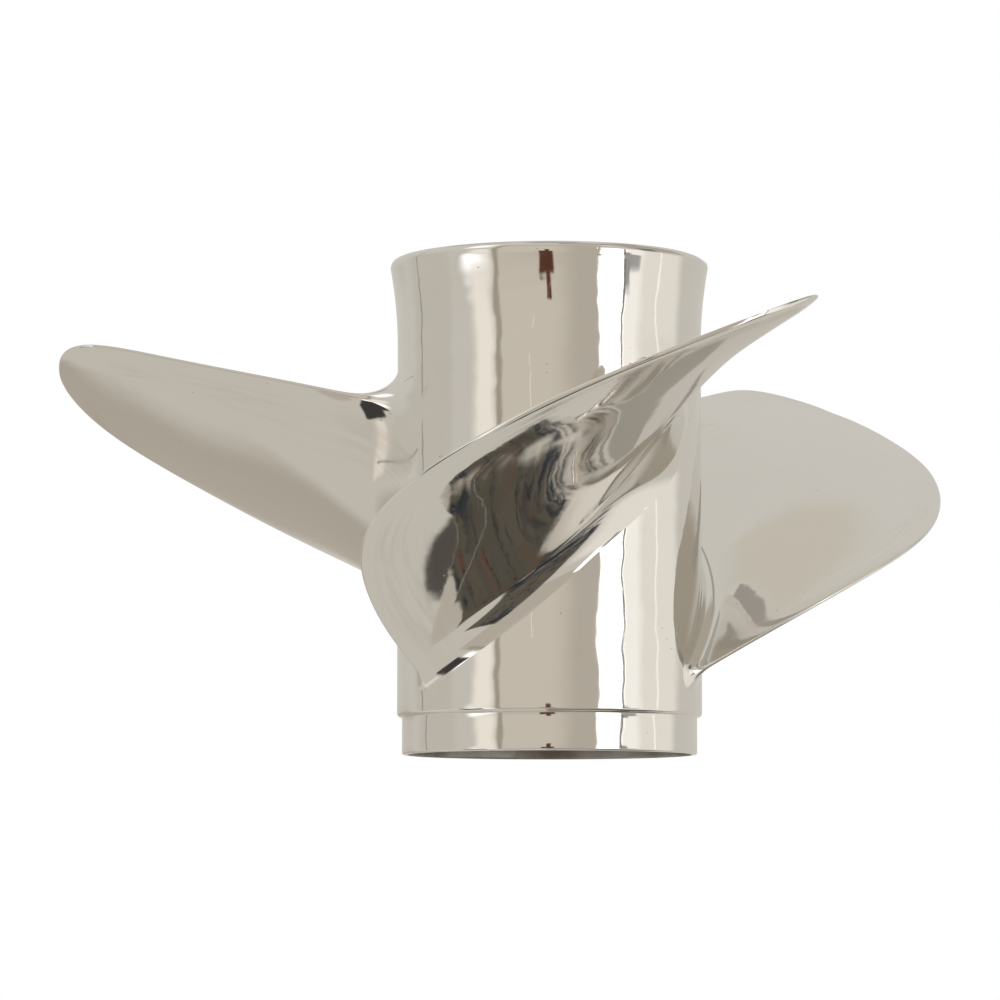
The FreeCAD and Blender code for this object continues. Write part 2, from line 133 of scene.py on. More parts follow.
# Blade rim from the leading edge at the barrel, round the tip, to the trailing edge at the barrel:
# control points (radius, angle, height) of one cubic curve, as the design has them.
BLADE_EDGE = np.array([
    (60.0, -54.5, 29.0),
    (95.0, -43.5, 51.0),
    (128.0, -35.0, 71.0),
    (158.0, -21.5, 91.0),
    (177.0, -4.5, 115.5),
    (197.0, 12.5, 138.0),
    (201.0, 26.0, 157.5),
    (188.0, 33.5, 165.0),
    (155.0, 33.5, 157.5),
    (108.5, 35.5, 148.5),
    (60.0, 48.0, 137.0),
])
RIM_SAMPLES = 1201
EDGE_HALF = 0.7
RIM_SHARE = 0.45
ROOT_HALF = 6.2
TIP_HALF = 1.7
TAPER_POWER = 1.4
BEVEL_WIDTH = 7.0
BEVEL_RISE = 0.3
TIP_FADE = 25.0
ROOT_CAMBER = 0.035
TIP_CAMBER = 0.005
CUP = 1.6
CUP_WIDTH = 14.0
FILLET_SIDE = 10.0
FILLET_LEADING = 7.5
FILLET_TRAILING = 22.0
LEADING_SHARE = 0.3
TRAILING_SHARE = 0.5
CHORD_STEPS = 20
ROUND_STEPS = 3
SPAN_STEPS = 16
TIP_STEP = 1 / 3
# The root blend's rows by angle, from 0 where the blend leaves the blade towards 90 at the barrel.
FILLET_PHASES = [0.0, 16.0, 32.0, 47.0, 60.0, 71.0, 80.0, 86.0]
# Past the blend the blade's foot runs on inside the barrel's wall: depth, and spread beyond the blend.
FEATHER = [(0.03, 0.0), (0.12, 1.5), (1.2, 2.6), (2.6, 2.6)]
# Rows that close the buried foot, from its middle outwards.
CLOSING_SHARES = [0.0, 0.35, 0.7]
ROWS_PER_STEP = 7
COLUMNS_PER_STEP = 7

# Floor and camera: sizes and places in metres, lens and sensor in millimetres.
FLOOR_R = 2.5
FLOOR_Z = -0.16
FLOOR_SIDES = 96
CAMERA_PLACE = (0.0, -1.88, -0.0604)
CAMERA_AIM = (-0.0196, 0.0, 0.1012)
CAMERA_LENS = 171.0
SENSOR_WIDTH = 36.0


# ---- curves and meshes --------------------------------------------------------------------------
def basis(count, samples, periodic):
    """Uniform cubic B-spline weights: one row per sample, one column per control point."""
    degree = 3
    if periodic:
        where = np.arange(samples) * count / samples
        weights = np.zeros((samples, count))
        first = np.floor(where).astype(int)
        t = where - first
        parts = [(1 - t) ** 3, 3 * t**3 - 6 * t**2 + 4, -3 * t**3 + 3 * t**2 + 3 * t + 1, t**3]
        for k, part in enumerate(parts):
            weights[np.arange(samples), (first + k - 1) % count] += part / 6
        return weights
    inner = np.arange(count - degree + 1)
    knots = np.concatenate([np.zeros(degree), inner, np.full(degree, count - degree)])
    where = np.linspace(0, count - degree, samples)
    where[-1] -= 1e-9
    weights = ((knots[None, :-1] <= where[:, None]) & (where[:, None] < knots[None, 1:])).astype(float)
    for d in range(1, degree + 1):
        wide = count + degree - d
        left = knots[d:d + wide] - knots[:wide]
        ends = knots[d + 1:d + 1 + wide]
        right = ends - knots[1:1 + wide]
        rise = np.where(left > 0, (where[:, None] - knots[None, :wide]) / np.where(left > 0, left, 1), 0)
        fall = np.where(right > 0, (ends[None, :] - where[:, None]) / np.where(right > 0, right, 1), 0)
        weights = rise * weights[:, :wide] + fall * weights[:, 1:wide + 1]
    return weights


def polar(radius, angle, height):
    """Points at a radius, an angle from -Y towards +X, and a height."""
    turn = np.radians(angle)
    return np.stack(np.broadcast_arrays(radius * np.sin(turn), -radius * np.cos(turn), height), -1)


def grid_mesh(name, points, body, wrap_rows=False, values=None):
    """A smooth mesh from points[row, column], closed round its columns, that rides on a body.

    With wrap_rows the last row joins the first. Without it the mesh is left open at both rows, so
    each of them should be gathered to one point or one line, which close_poles then joins up.
    """
    rows, columns = points.shape[:2]
    mesh = bpy.data.meshes.new(name)
    index = np.arange(rows * columns).reshape(rows, columns)
    nxt = np.roll(index, -1, axis=1)
    if wrap_rows:
        below, above = index, np.roll(index, -1, axis=0)
        below_n, above_n = nxt, np.roll(nxt, -1, axis=0)
    else:
        below, above, below_n, above_n = index[:-1], index[1:], nxt[:-1], nxt[1:]
    quads = np.stack([below, below_n, above_n, above], -1).reshape(-1, 4)
    mesh.from_pydata((points.reshape(-1, 3) * MM).tolist(), [], quads.tolist())
    mesh.validate()
    if values is not None:
        for key, value in values.items():
            layer = mesh.attributes.new(key, "FLOAT", "POINT")
            layer.data.foreach_set("value", np.ascontiguousarray(value, np.float32).ravel())
    mesh.shade_smooth()
    piece = bpy.data.objects.new(name, mesh)
    bpy.context.scene.collection.objects.link(piece)
    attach(piece, body)
    return piece


def close_poles(piece, distance=1e-6):
    """Merges coincident vertices, such as a row shrunk to a tip, and turns all faces outward."""
    work = bmesh.new()
    work.from_mesh(piece.data)
    bmesh.ops.remove_doubles(work, verts=work.verts, dist=distance)
    bmesh.ops.dissolve_degenerate(work, edges=work.edges, dist=distance / 10)
    bmesh.ops.recalc_face_normals(work, faces=work.faces)
    work.to_mesh(piece.data)
    work.free()
    piece.data.shade_smooth()


def lathe(name, outline, body, columns):
    """A ring turned from a closed outline of (radius, height)."""
    outline = np.array(outline, float)
    angles = np.arange(columns) * 360.0 / columns
    points = polar(outline[:, None, 0], angles[None, :], outline[:, None, 1])
    return grid_mesh(name, points, body, wrap_rows=True)


# ---- barrel -------------------------------------------------------------------------------------
def straight(start, end, steps):
    """Points between start and end, without either of them."""
    a, b = np.array(start, float), np.array(end, float)
    return [a + (b - a) * i / steps for i in range(1, steps)]


def corner(start, middle, end, steps=6):
    """Quarter-ellipse from start to end that is tangent to the lines towards middle."""
    a, m, b = (np.array(p, float) for p in (start, middle, end))
    centre = a + b - m
    turns = np.linspace(0, math.pi / 2, steps + 1)
    return [centre + (a - centre) * math.cos(t) + (b - centre) * math.sin(t) for t in turns]


def flare(start, end, steps):
    """Curve that leaves start upright and bends out to end."""
    (r0, z0), (r1, z1) = start, end
    shares = np.linspace(0, 1, steps + 1)
    return [np.array([r0 + (r1 - r0) * s * s, z0 + (z1 - z0) * s]) for s in shares]


def barrel_outline():
    """Closed outline: up the outside, over the lip and down the bore."""
    lip = FLARE_R - LIP_WALL
    end = BARREL_LENGTH
    step = SPIGOT_LENGTH
    points = corner((SPIGOT_R - NOSE_ROUND, 0), (SPIGOT_R, 0), (SPIGOT_R, NOSE_ROUND))
    points += straight(points[-1], (SPIGOT_R, step - STEP_FILLET), 6)
    points += corner((SPIGOT_R, step - STEP_FILLET), (SPIGOT_R, step), (SPIGOT_R + STEP_FILLET, step), 3)
    points += corner((BARREL_R - STEP_ROUND, step), (BARREL_R, step), (BARREL_R, step + STEP_ROUND), 8)
    points += straight(points[-1], (BARREL_R, FLARE_START), 40)
    points += flare((BARREL_R, FLARE_START), (FLARE_R, FLARE_PEAK), 16)
    points += corner((FLARE_R, FLARE_PEAK), (FLARE_R, end), (FLARE_R - LIP_ROUND, end), 8)[1:]
    points += corner((lip + LIP_EASE, end), (lip, end), (lip, end - LIP_EASE), 4)
    points += flare((BARREL_BORE_R, LIP_BORE_START), (lip, end - LIP_EASE), 10)[::-1][1:]
    points += straight(points[-1], (BARREL_BORE_R, NOSE_ROUND), 24)
    points += corner((BARREL_BORE_R, NOSE_ROUND), (BARREL_BORE_R, 0), (BARREL_BORE_R + NOSE_ROUND, 0), 4)
    return points


def make_barrel():
    """The exhaust barrel: one turned shell."""
    piece = lathe("barrel_shell", barrel_outline(), "propeller", BARREL_COLUMNS)
    close_poles(piece)
    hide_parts("outer_barrel")
    return piece


def leave_bore_cast(piece):
    """Gives the bore the second material, up to where the mouth's polish starts."""
    bore_limit = (BARREL_BORE_R + FLARE_R - LIP_WALL) / 2
    for face in piece.data.polygons:
        centre, normal = face.center, face.normal
        inward = normal.x * centre.x + normal.y * centre.y < 0
        deep = math.hypot(centre.x, centre.y) < bore_limit * MM or centre.z < POLISH_START * MM
        face.material_index = 1 if inward and deep else 0


# ---- blades -------------------------------------------------------------------------------------
def smooth(x):
    """Smooth step from 0 to 1."""
    x = np.clip(x, 0, 1)
    return x * x * (3 - 2 * x)


class Rim:
    """Where the blade's leading and trailing edges are at any radius."""

    def __init__(self):
        curve = basis(len(BLADE_EDGE), RIM_SAMPLES, False) @ BLADE_EDGE
        top = int(curve[:, 0].argmax())
        self.tip = curve[top, 0]
        self.leading = curve[:top + 1]
        self.trailing = curve[top:][::-1]

    def at(self, radius):
        """Leading angle and height, then trailing angle and height."""
        found = []
        for side in (self.leading, self.trailing):
            found.append(np.interp(radius, side[:, 0], side[:, 1]))
            found.append(np.interp(radius, side[:, 0], side[:, 2]))
        return found


def loop_columns():
    """Arrays (chord share, side, turn) of the control columns round a section."""
    steps = np.arange(CHORD_STEPS)
    shares = 0.5 - 0.5 * np.cos(np.pi * (steps + 0.5) / CHORD_STEPS)
    turns = 90.0 - 180.0 * (np.arange(ROUND_STEPS) + 0.5) / ROUND_STEPS
    share = np.concatenate([shares, np.ones(ROUND_STEPS), shares[::-1], np.zeros(ROUND_STEPS)])
    flat = np.zeros(ROUND_STEPS)
    side = np.concatenate([np.ones(CHORD_STEPS), flat, -np.ones(CHORD_STEPS), flat])
    turn = np.concatenate([np.zeros(CHORD_STEPS), turns, np.zeros(CHORD_STEPS), -turns])
    return share, side, turn


def fillet_radius(share):
    """Root blend radius, which changes towards the leading and trailing rims."""
    trailing = smooth((share - 1 + TRAILING_SHARE) / TRAILING_SHARE)
    leading = smooth((LEADING_SHARE - share) / LEADING_SHARE)
    wider = (FILLET_TRAILING - FILLET_SIDE) * trailing
    tighter = (FILLET_LEADING - FILLET_SIDE) * leading
    return FILLET_SIDE + wider + tighter


def ease(distance, width):
    """0 at no distance, rising to 1 at width and levelling off there."""
    return 1 - (1 - np.clip(distance / width, 0, 1)) ** 2


def section_row(rim, radius, spread):
    """Control points round the blade section on a cylinder, and each one's distance from the rim."""
    share, side, turn = loop_columns()
    lead_angle, lead_height, trail_angle, trail_height = rim.at(radius)
    run = radius * np.radians(trail_angle - lead_angle)
    climb = trail_height - lead_height
    chord = np.maximum(np.hypot(run, climb), 1e-6)
    along_s, along_z = run / chord, climb / chord
    edge = np.minimum(EDGE_HALF, RIM_SHARE * chord)
    scale = edge / EDGE_HALF
    depth = np.maximum(0, (rim.tip - radius) / (rim.tip - BARREL_R))
    middle = TIP_HALF + (ROOT_HALF - TIP_HALF) * depth**TAPER_POWER
    from_rim = np.minimum(share, 1 - share) * chord
    from_tip = rim.tip - radius
    bevel = BEVEL_RISE * ease(np.minimum(from_rim, from_tip), BEVEL_WIDTH)
    swell = (middle - EDGE_HALF - BEVEL_RISE) * ease(from_tip, TIP_FADE)
    half = (EDGE_HALF + bevel + swell * 4 * share * (1 - share)) * scale
    camber = TIP_CAMBER + (ROOT_CAMBER - TIP_CAMBER) * depth
    bow = -camber * chord * np.sin(np.pi * share)
    bow -= CUP * share * ease(np.minimum((1 - share) * chord, from_tip), CUP_WIDTH) * scale
    on_face = side != 0
    outward = np.where(share > 0.5, 1, -1)
    turn = np.radians(turn)
    shift = np.where(on_face, 0, outward * (edge + spread) * np.cos(turn))
    lift = bow + np.where(on_face, side * (half + spread), (edge + spread) * np.sin(turn))
    station = edge + share * (chord - 2 * edge) + shift
    s = station * along_s - lift * along_z
    z = station * along_z + lift * along_s
    return polar(radius, lead_angle + np.degrees(s / radius), lead_height + z), from_rim


def blade_net(rim):
    """Control rows from inside the barrel's wall, through the root blend, out to the tip."""
    share = loop_columns()[0]
    blend = fillet_radius(share)
    fillet, rims = [], []
    for phase in FILLET_PHASES:
        height = blend * (1 - math.sin(math.radians(phase)))
        spread = blend * (1 - math.cos(math.radians(phase)))
        row, near = section_row(rim, BARREL_R + height, spread)
        fillet.append(row)
        rims.append(near)
    feather = [section_row(rim, BARREL_R - sink, blend + grow)[0] for sink, grow in FEATHER]
    floor = feather[-1]
    middle = floor.mean(0)
    centre_angle = math.degrees(math.atan2(middle[0], -middle[1]))
    floor_angle = np.degrees(np.arctan2(floor[:, 0], -floor[:, 1]))
    closing = []
    for closeness in CLOSING_SHARES:
        angle = centre_angle + (floor_angle - centre_angle) * closeness
        height = middle[2] + (floor[:, 2] - middle[2]) * closeness
        closing.append(polar(BARREL_R - FEATHER[-1][0], angle, height))
    span, span_rims = [], []
    for step in [*range(1, SPAN_STEPS), SPAN_STEPS - TIP_STEP, SPAN_STEPS]:
        reach = math.sin(math.pi / 2 * step / SPAN_STEPS)
        start = BARREL_R + blend
        row, near = section_row(rim, start + (rim.tip - start) * reach, 0.0)
        span.append(row)
        span_rims.append(near)
    rows = closing + feather[::-1] + fillet[::-1] + span
    buried = [rims[-1]] * (len(closing) + len(feather))
    return np.array(rows), np.array(buried + rims[::-1] + span_rims)


def make_blade(rim, number):
    """One blade, turned to its place, with each point's distance from the rim and from the tip."""
    net, rims = blade_net(rim)
    rows, columns = net.shape[:2]
    down = basis(rows, rows * ROWS_PER_STEP, False)
    round_ = basis(columns, columns * COLUMNS_PER_STEP, True)
    surface = np.einsum("ri,cj,ijk->rck", down, round_, net)
    from_rim = np.einsum("ri,cj,ij->rc", down, round_, rims)
    radius = np.hypot(surface[..., 0], surface[..., 1])
    turn = math.radians(120.0 * (number - 1))
    x = surface[..., 0] * math.cos(turn) - surface[..., 1] * math.sin(turn)
    y = surface[..., 0] * math.sin(turn) + surface[..., 1] * math.cos(turn)
    surface = np.stack([x, y, surface[..., 2]], -1)
    values = {"from_rim": from_rim, "from_tip": rim.tip - radius}
    piece = grid_mesh(f"blade_shell_{number}", surface, "propeller", values=values)
    close_poles(piece)
    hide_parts(f"blade_{number}")
    return piece


# ---- inner hub, webs and hub kit ----------------------------------------------------------------
def span_of(node):
    """Lowest and highest height of a CAD node."""
    low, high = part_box(node)
    return low.z / MM, high.z / MM


def repeated_columns(step, marks):
    """Column angles that repeat every step and hit each mark on both sides of each centre."""
    sides = [-m for m in reversed(marks)] + list(marks)
    return np.concatenate([i * step + np.array(sides) for i in range(round(360 / step))])


def ring(name, node, body, columns, rows):
    """A closed ring about the shaft. A row's radius may be one number or change from column to column."""
    points = np.array([polar(np.broadcast_to(r, columns.shape), columns, z) for r, z in rows])
    piece = grid_mesh(name, points, body, wrap_rows=True)
    close_poles(piece)
    piece.data.set_sharp_from_angle(angle=math.radians(32))
    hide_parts(node)
    return piece


def round_outside(radius, low, high, soft_low, soft_high):
    """Outline of a cylinder's outside, upwards, with rounded rims."""
    start = corner((radius - soft_low, low), (radius, low), (radius, low + soft_low), 4)
    end = corner((radius, high - soft_high), (radius, high), (radius - soft_high, high), 4)
    return start + straight(start[-1], end[0], 8) + end


def round_inside(radius, low, high, soft):
    """Outline of a bore, downwards, with rounded rims."""
    start = corner((radius + soft, high), (radius, high), (radius, high - soft), 4)
    end = corner((radius, low + soft), (radius, low), (radius + soft, low), 4)
    return start + straight(start[-1], end[0], 8) + end


PLAIN_COLUMNS = np.arange(0, 360, 2.5)
SPLINE_COLUMNS = repeated_columns(SPLINE_STEP, [1.5, 3.0, SPACE_FLAT, 5.3, SPACE_TOP, 7.5, 9.0, 10.8])
FLUTE_COLUMNS = repeated_columns(FLUTE_STEP, [1.0, 2.0, 3.0, 3.9, 4.5, 4.85, 6.0, 7.5, 9.5, 11.5, 13.8])


def make_inner_hub():
    """Tube in the middle of the barrel that holds the bush."""
    low, high = span_of("inner_hub")
    rows = round_outside(HUB_R, low, high, HUB_ROUND, HUB_ROUND)
    rows += round_inside(HUB_BORE_R, low, high, HUB_BORE_ROUND)
    return ring("inner_hub_casting", "inner_hub", "propeller", PLAIN_COLUMNS, rows)


def web_row(radius, grow, low, high, angle, share=1.0):
    """Loop round a web at one radius: straight sides and half-round noses, scaled sideways by share."""
    half = WEB_HALF + grow
    turns = np.radians(np.concatenate([np.linspace(0, 180, 13), np.linspace(180, 360, 13)]))
    middle = np.concatenate([np.full(13, high - WEB_HALF), np.full(13, low + WEB_HALF)])
    aside = half * np.cos(turns) * share
    return polar(radius, angle + np.degrees(aside / radius), middle + half * np.sin(turns) * share)


def make_web(number):
    """A web that flares into the hub at one end and into the barrel at the other."""
    low, high = span_of(f"exhaust_web_{number}")
    angle = WEB_ANGLE + 120.0 * (number - 1)
    hub_side = []
    for phase in np.radians(np.linspace(0, 90, 7)):
        hub_side.append((WEB_ROOT * (1 - math.cos(phase)), WEB_ROOT * (1 - math.sin(phase))))
    stations = [(HUB_R - WEB_BURY, WEB_ROOT)] + [(HUB_R + away, grow) for away, grow in hub_side]
    stations += [(BARREL_BORE_R - away, grow) for away, grow in reversed(hub_side)]
    stations += [(BARREL_BORE_R + WEB_BURY, WEB_ROOT)]
    rows = [web_row(stations[0][0], WEB_ROOT, low, high, angle, 0.0)]
    rows += [web_row(radius, grow, low, high, angle) for radius, grow in stations]
    rows += [web_row(stations[-1][0], WEB_ROOT, low, high, angle, 0.0)]
    piece = grid_mesh(f"exhaust_web_casting_{number}", np.array(rows), "propeller")
    close_poles(piece)
    piece.data.set_sharp_from_angle(angle=math.radians(50))
    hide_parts(f"exhaust_web_{number}")
    return piece


def make_bush():
    """Rubber bush with lengthwise flutes."""
    low, high = span_of("rubber_bush")
    off = np.radians(FLUTE_COLUMNS - FLUTE_STEP * np.round(FLUTE_COLUMNS / FLUTE_STEP))
    reach = np.maximum(FLUTE_R**2 - (FLUTE_CENTRE_R * np.sin(off)) ** 2, 0.0)
    groove = np.where(reach > 0, FLUTE_CENTRE_R * np.cos(off) - np.sqrt(reach), BUSH_R)
    fluted = np.minimum(groove, BUSH_R)
    rows = []
    for r, z in round_outside(BUSH_R, low, high, BUSH_ROUND, BUSH_ROUND):
        rows.append((np.minimum(fluted, r), z))
    rows += round_inside(SLEEVE_R, low, high, EDGE_BREAK)
    return ring("rubber_bush_moulding", "rubber_bush", "core", FLUTE_COLUMNS, rows)


def splined_ring(name, node, finish, outer, soft_low, soft_high):
    """A turned ring with a splined bore and a plain lead-in at each end."""
    low, high = span_of(node)
    off = np.abs(SPLINE_COLUMNS - SPLINE_STEP * np.round(SPLINE_COLUMNS / SPLINE_STEP))
    teeth = np.interp(off, [SPACE_FLAT, SPACE_TOP], [SPLINE_ROOT_R, SPLINE_TIP_R])
    rows = round_outside(outer, low, high, soft_low, soft_high)
    rows += [(SPLINE_LEAD_R + EDGE_BREAK, high), (SPLINE_LEAD_R, high - EDGE_BREAK)]
    rows += [(SPLINE_LEAD_R, high - SPLINE_LEAD)]
    for z in np.linspace(high - SPLINE_LEAD, low + SPLINE_LEAD, 10):
        rows.append((teeth, z))
    rows += [(SPLINE_LEAD_R, low + SPLINE_LEAD)]
    rows += [(SPLINE_LEAD_R, low + EDGE_BREAK), (SPLINE_LEAD_R + EDGE_BREAK, low)]
    return ring(name, node, "core", SPLINE_COLUMNS, rows)


def make_sleeve():
    """Bronze sleeve with the shaft's splines."""
    rounds = (SLEEVE_ROUND, SLEEVE_ROUND)
    return splined_ring("drive_sleeve_turning", "drive_sleeve", "bronze", SLEEVE_R, *rounds)


def make_spacer():
    """Splined spacer between the sleeve and the washer."""
    rounds = (SPACER_ROUND_FRONT, SPACER_ROUND_BACK)
    return splined_ring("rear_spacer_turning", "rear_spacer", "machined_stainless", SPACER_R, *rounds)


def make_thrust_hub():
    """Thrust hub: a nose, a wider flange behind it and a cone in its mouth."""
    low, high = span_of("thrust_hub")
    flange = THRUST_FLANGE_FRONT
    nose, fillet, back = THRUST_NOSE_ROUND, THRUST_FILLET, THRUST_BACK_ROUND
    rows = corner((THRUST_NOSE_R - nose, low), (THRUST_NOSE_R, low), (THRUST_NOSE_R, low + nose), 4)
    rows += straight(rows[-1], (THRUST_NOSE_R, flange - fillet), 4)
    root = THRUST_NOSE_R + fillet
    rows += corner((THRUST_NOSE_R, flange - fillet), (THRUST_NOSE_R, flange), (root, flange), 4)
    rows += corner((THRUST_R - fillet, flange), (THRUST_R, flange), (THRUST_R, flange + fillet), 4)
    rows += corner((THRUST_R, high - back), (THRUST_R, high), (THRUST_R - back, high), 3)
    rows += [(THRUST_BORE_R + EDGE_BREAK, high), (THRUST_BORE_R, high - EDGE_BREAK)]
    rows += [(THRUST_BORE_R, low + THRUST_CONE_DEPTH), (THRUST_CONE_R, low)]
    return ring("thrust_hub_turning", "thrust_hub", "core", PLAIN_COLUMNS, rows)


def make_washer():
    """Plain washer under the nut."""
    low, high = span_of("plain_washer")
    rows = round_outside(WASHER_R, low, high, WASHER_ROUND, WASHER_BACK_ROUND)
    rows += round_inside(WASHER_BORE_R, low, high, WASHER_ROUND)
    return ring("plain_washer_pressing", "plain_washer", "washer", PLAIN_COLUMNS, rows)


def make_nut():
    """Hexagon nut: turned-down corners, a rolled collar over the insert and a real internal thread."""
    low, end = span_of("prop_nut")
    insert_low, insert_high = span_of("nut_insert")
    top = end - NUT_COLLAR_LENGTH
    corner_r = NUT_FLAT_R / math.cos(math.radians(30))
    off = PLAIN_COLUMNS - 60 * np.round(PLAIN_COLUMNS / 60)
    hexagon = NUT_FLAT_R / np.cos(np.radians(off))
    rows = []
    for share in (0.0, 0.35, 0.7, 1.0):
        limit = corner_r - NUT_FRONT_CHAMFER * (1 - share)
        rows.append((np.minimum(hexagon, limit), low + NUT_FRONT_CHAMFER_LENGTH * share))
    for share in np.linspace(0, 0.93, 10):
        limit = corner_r - NUT_BACK_CHAMFER * share
        rows.append((np.minimum(hexagon, limit), top - NUT_BACK_CHAMFER_LENGTH * (1 - share)))
    round_start, round_end = end - NUT_COLLAR_ROUND, NUT_COLLAR_R - NUT_COLLAR_ROUND
    rows += [(NUT_COLLAR_R, top - NUT_COLLAR_SINK), (NUT_COLLAR_R, round_start)]
    rows += corner((NUT_COLLAR_R, round_start), (NUT_COLLAR_R, end), (round_end, end), 5)[1:]
    rows += [(INSERT_BORE_R + INSERT_LIP, end), (INSERT_BORE_R + INSERT_LIP, insert_high)]
    rows += [(INSERT_R, insert_high), (INSERT_R, insert_low)]
    for z in np.arange(insert_low, low, -THREAD_PITCH / THREAD_ROWS_PER_TURN):
        turn = (z / THREAD_PITCH + PLAIN_COLUMNS / 360.0) % 1.0
        rows.append((NUT_BORE_R + THREAD_DEPTH * (1 - np.abs(2 * turn - 1)), z))
    rows += [(NUT_BORE_R + NUT_BORE_LEAD, low)]
    return ring("prop_nut_body", "prop_nut", "nut", PLAIN_COLUMNS, rows)


def make_insert():
    """Nylon ring that locks the nut."""
    low, high = span_of("nut_insert")
    rows = round_outside(INSERT_R, low, high, INSERT_ROUND, INSERT_ROUND)
    rows += round_inside(INSERT_BORE_R, low, high, INSERT_BORE_ROUND)
    return ring("nut_insert_moulding", "nut_insert", "nut", PLAIN_COLUMNS, rows)


# ---- node helpers -------------------------------------------------------------------------------
class Nodes:
    """Short ways to add shader nodes and join them."""

    def __init__(self, tree):
        self.tree = tree
        tree.nodes.clear()

    def add(self, kind, inputs=None, **settings):
        """Adds a node. Each input is a number, a colour or another node's output socket."""
        node = self.tree.nodes.new(kind)
        for key, value in settings.items():
            setattr(node, key, value)
        for key, value in (inputs or {}).items():
            self.put(node.inputs[key], value)
        return node

    def put(self, socket, value):
        """Links the socket to value if that is an output, or else sets it."""
        if isinstance(value, bpy.types.NodeSocket):
            self.tree.links.new(value, socket)
        elif isinstance(value, (tuple, list)) and len(value) == 3 and len(socket.default_value) == 4:
            socket.default_value = (*value, 1.0)
        else:
            socket.default_value = value

    def math(self, operation, *values):
        """Result of a Math node."""
        node = self.add("ShaderNodeMath", operation=operation)
        for socket, value in zip(node.inputs, values):
            self.put(socket, value)
        return node.outputs[0]

    def vector(self, operation, *values):
        """Result of a Vector Math node."""
        node = self.add("ShaderNodeVectorMath", operation=operation)
        for socket, value in zip(node.inputs, values):
            self.put(socket, value)
        return node.outputs[0]

    def mix(self, share, first, second):
        """Colour that goes from first to second as share goes from 0 to 1."""
        node = self.add("ShaderNodeMix", data_type="RGBA")
        self.put(node.inputs["Factor"], share)
        self.put(node.inputs["A"], first)
        self.put(node.inputs["B"], second)
        return node.outputs["Result"]

    def ramp(self, value, low, high, out_low=0.0, out_high=1.0):
        """Smooth step from out_low to out_high as value goes from low to high."""
        node = self.add("ShaderNodeMapRange", interpolation_type="SMOOTHSTEP")
        for key, number in zip(("Value", "From Min", "From Max", "To Min", "To Max"),
                               (value, low, high, out_low, out_high)):
            self.put(node.inputs[key], number)
        return node.outputs[0]

    def noise(self, where, scale, detail=2.0, roughness=0.5, color=False):
        """Noise about 0.5: one number, or three if color is set."""
        inputs = {"Vector": where, "Scale": scale, "Detail": detail, "Roughness": roughness}
        node = self.add("ShaderNodeTexNoise", inputs)
        return node.outputs["Color" if color else "Fac"]

    def scaled(self, where, scale):
        """Coordinates multiplied by one factor per axis, which stretches what is sampled with them."""
        return self.add("ShaderNodeMapping", {"Vector": where, "Scale": scale}).outputs[0]

    def bump(self, height, distance, normal=None, strength=1.0):
        """Normal bent by height, on top of any earlier bump. Distance is in metres."""
        inputs = {"Height": height, "Distance": distance, "Strength": strength}
        if normal is not None:
            inputs["Normal"] = normal
        return self.add("ShaderNodeBump", inputs).outputs[0]


def linear(*levels):
    """Linear colour from display levels of 0 to 255."""
    return tuple((c / 255 / 12.92) if c <= 10 else ((c / 255 + 0.055) / 1.055) ** 2.4 for c in levels)


# ---- materials ----------------------------------------------------------------------------------
METAL = (0.83, 0.81, 0.775)
METAL_DULLED = tuple(c * 0.985 for c in METAL)
TARNISH = (0.70, 0.63, 0.55)
PIT_TONE = (0.35, 0.33, 0.31)

# Heights of the marks in the metal's surface, in metres.
BLADE_WAVES = 0.00022
BARREL_WAVES = 0.0008
RIPPLES = 0.00003
SCRATCHES = 0.0000025
PITS = -0.00002
PORES = 0.00008
MOULD_GRAIN = 0.00003


def new_material(name):
    """An empty node material, its nodes, and object coordinates in metres."""
    material = bpy.data.materials.new(name)
    material.use_nodes = True
    n = Nodes(material.node_tree)
    return material, n, n.add("ShaderNodeTexCoord").outputs["Object"]


def add_surface(n, **inputs):
    """Puts a Principled surface on the material, its inputs named with _ for a space."""
    named = {key.replace("_", " "): value for key, value in inputs.items()}
    surface = n.add("ShaderNodeBsdfPrincipled", named)
    n.add("ShaderNodeOutputMaterial", {"Surface": surface.outputs[0]})


def rim_haze(n, where, cloud):
    """Tarnish in streaks along the blade's rim, from 2 mm to 38 mm inside it, and only in places."""
    from_rim = n.add("ShaderNodeAttribute", attribute_name="from_rim").outputs["Fac"]
    from_tip = n.add("ShaderNodeAttribute", attribute_name="from_tip").outputs["Fac"]
    edge = n.math("MINIMUM", from_rim, n.math("MULTIPLY", from_tip, 1.5))
    along = n.add("ShaderNodeCombineXYZ", {
        "X": n.math("MULTIPLY", edge, 0.35),
        "Y": n.math("MULTIPLY", from_tip, 0.03),
        "Z": n.math("MULTIPLY", cloud, 2.5)}).outputs[0]
    streaks = n.noise(along, 1.0, 4.0, 0.6)
    rim_band = n.math("MULTIPLY", n.ramp(edge, 2.0, 9.0), n.ramp(edge, 14.0, 38.0, 1.0, 0.0))
    patchy = n.ramp(n.noise(where, 13.0, 2.0), 0.38, 0.62)
    return n.math("MULTIPLY", n.math("MULTIPLY", rim_band, patchy), n.ramp(streaks, 0.38, 0.66))


def spread_haze(n, where):
    """Faint tarnish in clouds."""
    clouds = n.noise(n.scaled(where, (40, 40, 40)), 1.0, 4.0, 0.65)
    return n.math("MULTIPLY", n.ramp(clouds, 0.5, 0.8), 0.4)


